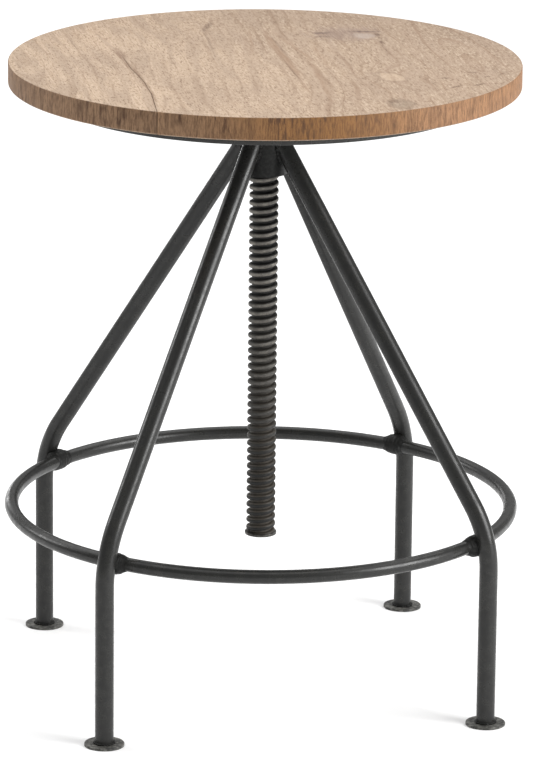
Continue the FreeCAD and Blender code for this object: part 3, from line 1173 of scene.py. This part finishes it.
@dataclass
class Seat:
    """The round wooden seat and the rimmed steel plate under it.

    The crack's path is in millimetres: places along the board, and how far off the joint it runs there.
    """

    board_width: float = 107 * MM
    upper_round: float = 1.0 * MM
    upper_steps: int = 3
    lower_round: float = 1.8 * MM
    lower_steps: int = 4
    sides: int = 256
    crack_half_width: float = 0.22 * MM
    crack_start: float = 46 * MM
    crack_stations: int = 40
    crack_path: tuple[Span, ...] = (
        (-170, -3.0), (-142, 0.0), (-98, 4.6), (-55, 6.2), (-10, 4.4), (50, 5.6), (110, 0.0), (190, 0.0),
    )
    rim_wall: float = 4 * MM
    rim_ease: float = 0.5 * MM
    stitch_count: int = 8
    stitch_arc: float = math.radians(9)
    stitch_drops: int = 11
    stitch_inset: float = 0.5 * MM
    stitch_sink: float = 0.6 * MM
    stitch_size: float = 1.55 * MM
    stitch_spread: float = 0.3 * MM
    stitch_seed: int = 11

    def __post_init__(self) -> None:
        """Reads the seat's place from the construction."""
        low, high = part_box("seat_board_right_inner")
        self.bottom, self.top = low.z, high.z
        self.radius = high.y
        rim_low, rim_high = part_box("seat_plate_rim")
        self.rim_radius = (rim_high.y - rim_low.y) / 2
        self.rim_bottom, self.rim_top = rim_low.z, rim_high.z

    def blank(self) -> Piece:
        """Turns the round blank that the boards are cut from.

        Returns:
            The blank, with its edges eased.
        """
        blank = round_bar("seat_blank", self.radius, self.bottom, self.top, self.sides)
        middle = (self.bottom + self.top) / 2
        with editing(blank):
            ease_edges(blank, self.upper_round, self.upper_steps, above=middle)
            ease_edges(blank, self.lower_round, self.lower_steps, below=middle)
        return blank

    def board(self, blank: Piece, name: str, left: float, right: float) -> Piece:
        """Saws one board out of the blank.

        Args:
            blank: The round blank.
            name: The board's name.
            left: The board's left side.
            right: Its right side.

        Returns:
            The board.
        """
        board = turned_copy(blank, name, 0)
        with editing(board):
            saw_between(Vector((1, 0, 0)), left, right)
            for place, gap in ((left, 1), (right, -1)):
                if math.isclose(place, -self.board_width):
                    self.open_crack(board, place, gap)
        smooth(board)
        return board

    def open_crack(self, board: Piece, joint: float, gap: int) -> None:
        """Makes a board's side wander along the grain and stand open towards the front.

        Args:
            board: The board in edit mode.
            joint: The side's place.
            gap: 1 where the board lies right of the crack, -1 where it lies left.
        """
        def on_joint(vert: bmesh.types.BMVert) -> bool:
            """Whether a corner lies on the side."""
            return abs(vert.co.x - joint) < MERGE_DISTANCE

        def along_joint(edge: bmesh.types.BMEdge) -> bool:
            """Whether an edge runs along the whole side."""
            return all(map(on_joint, edge.verts)) and edge.calc_length() > self.board_width

        pick(board, "EDGE", along_joint)
        bpy.ops.mesh.subdivide(number_cuts=self.crack_stations)
        mesh = bmesh.from_edit_mesh(board.data)
        for vert in [vert for vert in mesh.verts if on_joint(vert)]:
            y = vert.co.y
            opening = max(0.0, min(1.0, (self.crack_start - y) / self.crack_start))
            vert.co.x += self.wander(y) + gap * self.crack_half_width * opening
        bmesh.update_edit_mesh(board.data)

    def wander(self, y: float) -> float:
        """Finds how far the crack leaves its straight line.

        Args:
            y: The place along the board.

        Returns:
            The distance to the right.
        """
        along = y / MM
        for (start, first), (end, last) in zip(self.crack_path, self.crack_path[1:]):
            if along <= end:
                share = max(0.0, (along - start) / (end - start))
                return (first + (last - first) * share) * MM
        return 0.0

    def rim(self) -> Piece:
        """Bends the flat bar hoop under the plate.

        Returns:
            The hoop.
        """
        hoop = round_bar("seat_rim_hoop", self.rim_radius, self.rim_bottom, self.rim_top, self.sides)
        with editing(hoop):
            bore_out(hoop, self.rim_wall)
            ease_edges(hoop, self.rim_ease)
        smooth(hoop)
        return hoop

    def stitch(self) -> Piece:
        """Lays one stitch weld between the plate and its rim.

        Returns:
            The weld, on the +X side.
        """
        chance = random.Random(self.stitch_seed)
        radius = self.rim_radius - self.rim_wall - self.stitch_inset
        height = self.rim_top - self.stitch_sink
        lumps = []
        for step in range(self.stitch_drops):
            angle = self.stitch_arc * (step / (self.stitch_drops - 1) - 0.5)
            size = varied(chance, self.stitch_size, self.stitch_spread)
            lumps.append(Lump(on_circle(radius, angle, height), size))
        return weld_bead("rim_stitch", lumps)

    def build(self, wood: Sequence[Material], steel: Material, weld: Material) -> None:
        """Makes and fits the seat's pieces.

        Args:
            wood: The boards' finishes from left to right.
            steel: The rim's finish.
            weld: The stitch welds' finish.
        """
        blank = self.blank()
        reach = 2 * self.radius
        sides = (-reach, -self.board_width, 0.0, self.board_width, reach)
        words = ("left_outer", "left_inner", "right_inner", "right_outer")
        for word, left, right, finish in zip(words, sides, sides[1:], wood):
            board = self.board(blank, "plank_" + word, left, right)
            dress(board, finish)
            fit(board, Body.SEAT, "seat_board_" + word)
        discard(blank)
        hoop = self.rim()
        dress(hoop, steel)
        fit(hoop, Body.SEAT, "seat_plate_rim")
        stitch = self.stitch()
        for count in range(self.stitch_count):
            bead = turned_copy(stitch, f"rim_stitch_{count + 1}", 360 / self.stitch_count * count)
            dress(bead, weld)
            fit(bead, Body.SEAT, "rim_welds")
        discard(stitch)


@dataclass
class Spindle:
    """The coarse-threaded spindle with its stop, and the nut that it turns in."""

    pitch: float = 6 * MM
    depth: float = 2.6 * MM
    groove: float = 1.8 * MM
    fullness: float = 2.5
    clearance: float = 0.35 * MM
    ridge_points: int = 10
    steps_a_turn: int = 40
    neck: float = 8.6 * MM
    neck_sides: int = 48
    flange: float = 5 * MM
    nut_sides: int = 96
    washer_sides: int = 96
    washer_ease: float = 0.3 * MM
    shank_radius: float = 3 * MM
    shank_sides: int = 32
    shank_lap: float = 0.2 * MM
    bore_play: float = 0.05 * MM
    head_play: float = 0.15 * MM
    head_ease: float = 0.4 * MM
    head_sides: int = 64
    socket_radius: float = 2.4 * MM
    socket_depth: float = 1.0 * MM
    socket_overrun: float = 1.0 * MM
    socket_sides: int = 6
    rub_and_highlight_start: float = 40 * MM
    rub_and_highlight_full: float = 130 * MM

    def __post_init__(self) -> None:
        """Reads the spindle's place from the construction."""
        low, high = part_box("spindle")
        self.bottom, self.top = low.z, high.z
        self.radius = (high.x - low.x) / 2
        self.thread_top = self.top - self.flange - self.neck
        self.nut_low, self.nut_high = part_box("hub_nut")
        self.washer_low, self.washer_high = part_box("stop_washer")
        self.screw_low, self.screw_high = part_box("stop_screw")

    def finish(self) -> ThreadFinish:
        """Gives the thread its finish, unrubbed near its lower end and fully worn near its top, with painted
        light and shade on its crests.

        Returns:
            The finish.
        """
        return ThreadFinish(
            "rubbed_thread_steel",
            # The bright crest colour is rubbing wear and a painted highlight; the warm grey is rust and
            # painted light on the lower crests
            oiled=shade(20, 20, 19), rub_and_painted_highlight=shade(126, 122, 115), rusty=shade(66, 61, 54),
            pitch=self.pitch, low=self.bottom + self.rub_and_highlight_start, high=self.top - self.rub_and_highlight_full,
        )

    def ridge(self, root: float, groove: float) -> list[Vector]:
        """Draws one turn of the thread's outline, from the middle of a groove to the next.

        Args:
            root: The radius in the groove.
            groove: The groove's width.

        Returns:
            Points in the XZ plane, centred on a crest at height 0.
        """
        half = (self.pitch - groove) / 2
        points = [Vector((root, 0, -self.pitch / 2))]
        for step in range(self.ridge_points + 1):
            across = -math.cos(math.pi * step / self.ridge_points)
            full = (1 - abs(across) ** self.fullness) ** (1 / self.fullness)
            points.append(Vector((root + self.depth * full, 0, across * half)))
        points.append(Vector((root, 0, self.pitch / 2)))
        return points

    def thread(self, name: str, slack: float, bottom: float, top: float) -> Piece:
        """Cuts a length of right-hand thread.

        Args:
            name: The piece's name.
            slack: How much larger than the spindle's own thread it is.
            bottom: Its lower end.
            top: Its upper end.

        Returns:
            The closed threaded bar.
        """
        outline = self.ridge(self.radius - self.depth + slack, self.groove - 2 * slack)
        first_crest = self.pitch * (math.floor(bottom / self.pitch) - 1)
        bar = start_piece(bpy.ops.mesh.primitive_plane_add, name, size=MM, location=(0, 0, 0))
        with editing(bar):
            bpy.ops.mesh.merge(type="CENTER")
            bpy.ops.transform.translate(value=outline[0] + Vector((0, 0, first_crest)))
            for start, end in zip(outline, outline[1:]):
                pull(end - start)
        turns = math.ceil((top - first_crest) / self.pitch) + 1
        apply_modifier(
            bar, "SCREW", axis="Z", angle=2 * math.pi, screw_offset=self.pitch, iterations=turns,
            steps=self.steps_a_turn, render_steps=self.steps_a_turn, use_merge_vertices=True,
            merge_threshold=MERGE_DISTANCE,
        )
        with editing(bar):
            bpy.ops.mesh.remove_doubles(threshold=MERGE_DISTANCE)
            saw_between(Vector((0, 0, 1)), bottom, top)
        return bar

    def rod(self) -> Piece:
        """Makes the spindle: its thread and the plain neck above it.

        Returns:
            The spindle.
        """
        rod = self.thread("spindle_rod", 0.0, self.bottom, self.thread_top)
        neck_radius, neck_bottom = self.radius - self.depth, self.thread_top - self.pitch
        neck = round_bar("spindle_neck", neck_radius, neck_bottom, self.top, self.neck_sides)
        rod = joined([rod, neck], "spindle_rod")
        smooth(rod, Smoothing.BENT)
        return rod

    def nut(self) -> Piece:
        """Makes the nut with its internal thread.

        Returns:
            The nut.
        """
        low, high = self.nut_low, self.nut_high
        nut = round_bar("hub_nut_threaded", (high.x - low.x) / 2, low.z, high.z, self.nut_sides)
        cut_away(nut, self.thread("nut_tap", self.clearance, low.z - self.pitch, high.z + self.pitch))
        smooth(nut, Smoothing.TAPPED)
        return nut

    def washer(self) -> Piece:
        """Punches the stop washer.

        Returns:
            The washer.
        """
        low, high = self.washer_low, self.washer_high
        radius = (high.x - low.x) / 2
        washer = round_bar("stop_washer_punched", radius, low.z, high.z, self.washer_sides)
        with editing(washer):
            bore_out(washer, radius - self.shank_radius - self.bore_play)
            ease_edges(washer, self.washer_ease)
        smooth(washer)
        return washer

    def stop_screw(self) -> Piece:
        """Makes the low-headed screw under the washer, with its socket.

        Returns:
            The screw.
        """
        low, high = self.screw_low, self.screw_high
        head_top = self.washer_low.z - self.head_play
        head = round_bar("stop_screw_head", (high.x - low.x) / 2, low.z, head_top, self.head_sides)
        with editing(head):
            ease_edges(head, self.head_ease)
        socket_bottom, socket_top = low.z - self.socket_overrun, low.z + self.socket_depth
        cut_away(head, round_bar(
            "stop_screw_socket", self.socket_radius, socket_bottom, socket_top, self.socket_sides
        ))
        shank_bottom = head_top - self.shank_lap
        shank = round_bar("stop_screw_shank", self.shank_radius, shank_bottom, high.z, self.shank_sides)
        screw = joined([head, shank], "stop_screw_socketed")
        smooth(screw)
        return screw

    def build(self, thread: Material, steel: Material) -> None:
        """Makes and fits the spindle's pieces.

        Args:
            thread: The thread's finish, worn by rubbing and with painted light and shade on its crests.
            steel: The finish of the small steel pieces.
        """
        rod, nut, washer, screw = self.rod(), self.nut(), self.washer(), self.stop_screw()
        dress(rod, thread)
        for piece in (nut, washer, screw):
            dress(piece, steel)
        fit(rod, Body.SEAT, "spindle")
        fit(nut, Body.FRAME, "hub_nut")
        fit(washer, Body.STOP, "stop_washer")
        fit(screw, Body.SEAT, "stop_screw")


@dataclass
class LegFrame:
    """The welded frame: hub, four bent legs with their feet, and the foot ring.

    The legs' centre lines reach the hub's wall at a height above its lower end.
    """

    bend_radius: float = 85 * MM
    bend_height: float = 145 * MM
    bend_steps: int = 18
    hub_reach_height: float = 22.5 * MM
    hub_wall: float = 3.5 * MM
    hub_ease: float = 0.7 * MM
    hub_ease_steps: int = 3
    hub_sides: int = 128
    leg_sides: int = 40
    ring_sides: int = 32
    ring_steps: int = 180
    foot_ease: float = 0.6 * MM
    foot_ease_steps: int = 3
    foot_inset: float = 2 * MM
    foot_dish: float = 0.25 * MM
    foot_sides: int = 72
    foot_bead_drops: int = 22
    foot_bead_stray: float = 0.3 * MM
    foot_bead_lift: float = 0.2 * MM
    foot_bead_size: float = 1.0 * MM
    foot_bead_spread: float = 0.35 * MM
    foot_bead_seed: int = 5
    hub_bead_drops: int = 26
    hub_bead_size: float = 1.7 * MM
    hub_bead_spread: float = 0.3 * MM
    hub_bead_seed: int = 3
    flare_discs: int = 9
    flare_reach: float = 11.2 * MM
    flare_core: float = 2.2 * MM
    flare_end: float = 12.2 * MM
    flare_rise: float = 3.05 * MM
    flare_shift: float = 2.6 * MM
    flare_flatness: float = 0.3
    flare_least: float = 0.98
    flare_spread: float = 0.04
    flare_seed: int = 8

    def __post_init__(self) -> None:
        """Reads the frame's place from the construction."""
        hub_low, hub_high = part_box("hub_collar")
        self.hub_bottom, self.hub_top = hub_low.z, hub_high.z
        self.hub_radius = (hub_high.y - hub_low.y) / 2
        foot_low, foot_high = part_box("foot_disc_rear_right")
        self.foot_radius = (foot_high.x - foot_low.x) / 2
        self.foot_top = foot_high.z
        foot_centre = (foot_low + foot_high) / 2
        self.leg_circle = math.hypot(*foot_centre.xy)
        self.leg_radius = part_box("leg_rear_right")[1].x - foot_centre.x
        ring_low, ring_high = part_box("foot_ring")
        self.ring_bar = (ring_high.z - ring_low.z) / 2
        self.ring_radius = (ring_high.x - ring_low.x) / 2 - self.ring_bar
        self.ring_height = (ring_low.z + ring_high.z) / 2
        rise = self.hub_bottom + self.hub_reach_height - self.bend_height
        self.lean = math.atan2(self.leg_circle - self.hub_radius, rise)
        self.bend_start = self.bend_height - self.bend_radius * math.tan(self.lean / 2)

    def inwards(self) -> Vector:
        """The way a leg runs above its bend, in the plane of +X."""
        return Vector((-math.sin(self.lean), 0, math.cos(self.lean)))

    def bend_end(self) -> Vector:
        """Where a leg's bend ends, in the plane of +X."""
        across = self.leg_circle - self.bend_radius * (1 - math.cos(self.lean))
        return Vector((across, 0, self.bend_start + self.bend_radius * math.sin(self.lean)))

    def leg(self) -> Piece:
        """Bends one leg and cuts its top to the hub.

        Returns:
            The leg, in the plane of +X.
        """
        leg = start_piece(
            bpy.ops.mesh.primitive_circle_add, "bent_leg", vertices=self.leg_sides,
            radius=self.leg_radius, fill_type="NGON", location=(self.leg_circle, 0, self.foot_top),
        )
        settle(leg)
        centre = (self.leg_circle - self.bend_radius, 0, self.bend_start)
        top_run = self.bend_end().x / math.sin(self.lean)
        with editing(leg):
            pull((0, 0, self.bend_start - self.foot_top))
            bpy.ops.mesh.spin(steps=self.bend_steps, angle=self.lean, center=centre, axis=(0, 1, 0))
            pull(self.inwards() * top_run)
        cut_away(leg, round_bar("hub_cutter", self.hub_radius, 0, 2 * self.hub_top, self.hub_sides))
        smooth(leg, Smoothing.BENT)
        return leg

    def foot(self) -> Piece:
        """Cuts one foot disc, its edge eased and its top a little dished.

        Returns:
            The disc, in the plane of +X.
        """
        disc = round_bar("torch_cut_foot", self.foot_radius, 0, self.foot_top, self.foot_sides)
        with editing(disc):
            ease_edges(disc, self.foot_ease, self.foot_ease_steps, above=self.foot_top / 2)
            pick(disc, "FACE", lambda face: is_cap(face) and face.normal.z > 0)
            bpy.ops.mesh.inset(thickness=self.foot_inset)
            bpy.ops.mesh.inset(thickness=self.foot_inset)
            bpy.ops.transform.translate(value=(0, 0, -self.foot_dish))
        disc.location.x = self.leg_circle
        settle(disc)
        smooth(disc)
        return disc

    def foot_weld(self) -> Piece:
        """Lays the bead round a leg's foot.

        Returns:
            The bead, in the plane of +X.
        """
        chance = random.Random(self.foot_bead_seed)
        middle = Vector((self.leg_circle, 0, self.foot_top + self.foot_bead_lift))
        lumps = []
        for step in range(self.foot_bead_drops):
            angle = 2 * math.pi * step / self.foot_bead_drops
            place = middle + on_circle(varied(chance, self.leg_radius, self.foot_bead_stray), angle, 0)
            lumps.append(Lump(place, varied(chance, self.foot_bead_size, self.foot_bead_spread)))
        return weld_bead("foot_bead", lumps)

    def hub_weld(self) -> Piece:
        """Lays the bead round a leg's top, along the line where it meets the hub.

        Returns:
            The bead, in the plane of +X.
        """
        chance = random.Random(self.hub_bead_seed)
        side, up = Vector((0, 1, 0)), Vector((math.cos(self.lean), 0, math.sin(self.lean)))
        lumps = []
        for step in range(self.hub_bead_drops):
            angle = 2 * math.pi * step / self.hub_bead_drops
            start = self.bend_end() + (side * math.cos(angle) + up * math.sin(angle)) * self.leg_radius
            across = math.sqrt(self.hub_radius ** 2 - start.y ** 2)
            place = start + self.inwards() * ((start.x - across) / math.sin(self.lean))
            lumps.append(Lump(place, varied(chance, self.hub_bead_size, self.hub_bead_spread)))
        return weld_bead("hub_bead", lumps)

    def ring_weld(self) -> Piece:
        """Lays the weld that flares from a leg along the foot ring.

        Returns:
            The weld, in the plane of +X.
        """
        chance = random.Random(self.flare_seed)
        lumps = []
        for side in (-1, 1):
            for step in range(self.flare_discs):
                along = self.flare_reach * step / (self.flare_discs - 1)
                ease = max(0.0, (along - self.flare_core) / (self.flare_end - self.flare_core))
                share = (1 + math.cos(math.pi * ease)) / 2
                reach = self.ring_radius + self.flare_shift * share
                place = on_circle(reach, side * along / self.ring_radius, self.ring_height)
                full = self.ring_bar + self.flare_rise * share
                size = full * varied(chance, self.flare_least, self.flare_spread)
                lumps.append(Lump(place, size, self.flare_flatness))
        return weld_bead("ring_bead", lumps)

    def ring(self) -> Piece:
        """Rolls the foot ring from round bar.

        Returns:
            The ring.
        """
        ring = start_piece(
            bpy.ops.mesh.primitive_circle_add, "rolled_foot_ring",
            vertices=self.ring_sides, radius=self.ring_bar, rotation=(math.pi / 2, 0, 0),
            location=(self.ring_radius, 0, self.ring_height),
        )
        settle(ring)
        with editing(ring):
            bpy.ops.mesh.spin(
                steps=self.ring_steps, angle=2 * math.pi, center=(0, 0, self.ring_height), axis=(0, 0, 1)
            )
        smooth(ring, Smoothing.ROUND)
        return ring

    def hub(self) -> Piece:
        """Turns the hub's collar.

        Returns:
            The collar.
        """
        collar = round_bar(
            "hub_collar_turned", self.hub_radius, self.hub_bottom, self.hub_top, self.hub_sides
        )
        with editing(collar):
            bore_out(collar, self.hub_wall)
            ease_edges(collar, self.hub_ease, self.hub_ease_steps)
        smooth(collar)
        return collar

    def build(self, steel: Material, foot: Material, weld: Material) -> None:
        """Makes and fits the frame's pieces.

        Args:
            steel: The coated steel's finish.
            foot: The worn feet's finish.
            weld: The finish of the welds, and of the hub, where its darkness is painted shade under the
                seat.
        """
        hub, ring = self.hub(), self.ring()
        # The hub takes the darker weld finish as painted shade, for the seat's shadow over it
        for piece, node, finish in ((hub, "hub_collar", weld), (ring, "foot_ring", steel)):
            dress(piece, finish)
            fit(piece, Body.FRAME, node)
        parts = (
            (self.leg(), "leg_{}_bent", "leg_{}", steel, Slot.BLACK_STEEL),
            (self.foot(), "foot_{}_cut", "foot_disc_{}", foot, Slot.FOOT_STEEL),
            (self.foot_weld(), "foot_bead_{}", "foot_welds", weld, Slot.WELD_STEEL),
            (self.hub_weld(), "hub_bead_{}", "hub_welds", weld, Slot.WELD_STEEL),
            (self.ring_weld(), "ring_bead_{}", "ring_welds", weld, Slot.WELD_STEEL),
        )
        for pattern, name, node, finish, slot in parts:
            for corner in Corner:
                piece = turned_copy(pattern, name.format(corner.word), corner.value)
                dress(piece, finish)
                fit(piece, Body.FRAME, node.format(corner.word))
            discard(pattern)


# Studio


@dataclass(frozen=True)
class Softbox:
    """A square studio light."""

    name: str
    place: Triple
    size: float
    power: float

    def build(self, target: Vector) -> None:
        """Hangs the light and aims it.

        Args:
            target: What it shines at.
        """
        light = bpy.data.lights.new(self.name, "AREA")
        light.shape = "SQUARE"
        light.size = self.size
        light.energy = self.power
        lamp = bpy.data.objects.new(self.name, light)
        bpy.context.scene.collection.objects.link(lamp)
        lamp.location = self.place
        lamp.rotation_euler = (target - lamp.location).to_track_quat("-Z", "Y").to_euler()


@dataclass
class Studio:
    """A pale floor, soft light and the camera."""

    softboxes: tuple[Softbox, ...] = (
        Softbox("overhead_softbox", (0.0, 1.0, 4.0), size=7.0, power=234.0),
        Softbox("key_softbox", (2.1, -1.5, 1.2), size=1.4, power=78.0),
        Softbox("left_softbox", (-2.0, 1.4, 1.2), size=0.8, power=14.0),
        Softbox("rim_softbox", (-0.5, 3.0, 0.35), size=0.6, power=4.0),
    )
    sky: float = 0.35
    floor_shade: float = 0.95
    floor_roughness: float = 0.9
    floor_shine: float = 0.1
    floor_reach: float = 14.0
    distance: float = 3.9097
    height: float = 1.3200
    pitch: float = 0.2713
    roll: float = 0.0105
    stool_turn: float = math.radians(11.2)
    stool_shift: float = -3.3 * MM
    focal_pixels: float = 5406.4
    picture_height: float = 758.0
    sight: float = 50.0

    def floor(self) -> None:
        """Lays the floor."""
        floor = start_piece(
            bpy.ops.mesh.primitive_plane_add, "studio_floor", size=self.floor_reach, location=(0, 0, 0)
        )
        graph, shader, _, material = finish_sheet("pale_floor")
        graph.feed(shader, {
            "Base Color": opaque((self.floor_shade,) * 3),
            "Roughness": self.floor_roughness,
            "Specular IOR Level": self.floor_shine,
        })
        dress(floor, material)

    def light(self) -> None:
        """Lights the studio evenly, with softboxes."""
        world = bpy.data.worlds.new("studio_sky")
        world.use_nodes = True
        backdrop = world.node_tree.nodes["Background"]
        backdrop.inputs["Color"].default_value = (1.0, 1.0, 1.0, 1.0)
        backdrop.inputs["Strength"].default_value = self.sky
        bpy.context.scene.world = world
        middle = (CAD_BOX[0] + CAD_BOX[1]) / 2
        for softbox in self.softboxes:
            softbox.build(middle)

    def camera(self) -> None:
        """Sets the camera where it sees the stool from a little above and to its left."""
        lens = bpy.data.cameras.new("studio_camera")
        lens.lens = self.focal_pixels / self.picture_height * lens.sensor_width
        lens.clip_end = self.sight
        camera = bpy.data.objects.new("studio_camera", lens)
        bpy.context.scene.collection.objects.link(camera)
        ahead = Vector((0, math.cos(self.pitch), -math.sin(self.pitch)))
        up = Vector((0, math.sin(self.pitch), math.cos(self.pitch)))
        right = Vector((1, 0, 0))
        tilted_right = right * math.cos(self.roll) + up * math.sin(self.roll)
        tilted_up = up * math.cos(self.roll) - right * math.sin(self.roll)
        view = Matrix((tilted_right, tilted_up, -ahead)).transposed().to_4x4()
        view.translation = Vector((-self.stool_shift, -self.distance, self.height))
        camera.matrix_world = Matrix.Rotation(-self.stool_turn, 4, "Z") @ view
        bpy.context.scene.camera = camera

    def build(self) -> None:
        """Sets up the whole studio."""
        self.floor()
        self.light()
        self.camera()
        bpy.context.scene.view_settings.view_transform = "Standard"


def main() -> None:
    """Builds the stool's looks and its studio."""
    logging.basicConfig(level=logging.INFO, format="%(name)s: %(message)s")
    effects = Effects(SteelMottle().tree(), WoodGrain().tree(), WoodSpot().tree())
    steels = {slot: finish.material(effects) for slot, finish in steel_finishes().items()}
    seat, spindle = Seat(), Spindle()
    wood = [finish.material(effects) for finish in board_finishes(seat.radius)]
    thread = spindle.finish().material(effects)
    seat.build(wood, steels[Slot.BLACK_STEEL], steels[Slot.WELD_STEEL])
    spindle.build(thread, steels[Slot.SPINDLE_STEEL])
    LegFrame().build(steels[Slot.BLACK_STEEL], steels[Slot.FOOT_STEEL], steels[Slot.WELD_STEEL])
    for part in frame["record"]["subparts"]:
        node = frame["nodes"][part["node"]]
        if not node.hide_render:
            dress(node, steels[Slot(part["material_slot"])])
            log.info("%s keeps its solid", node.name)
    Studio().build()


if __name__ == "__main__":
    main()
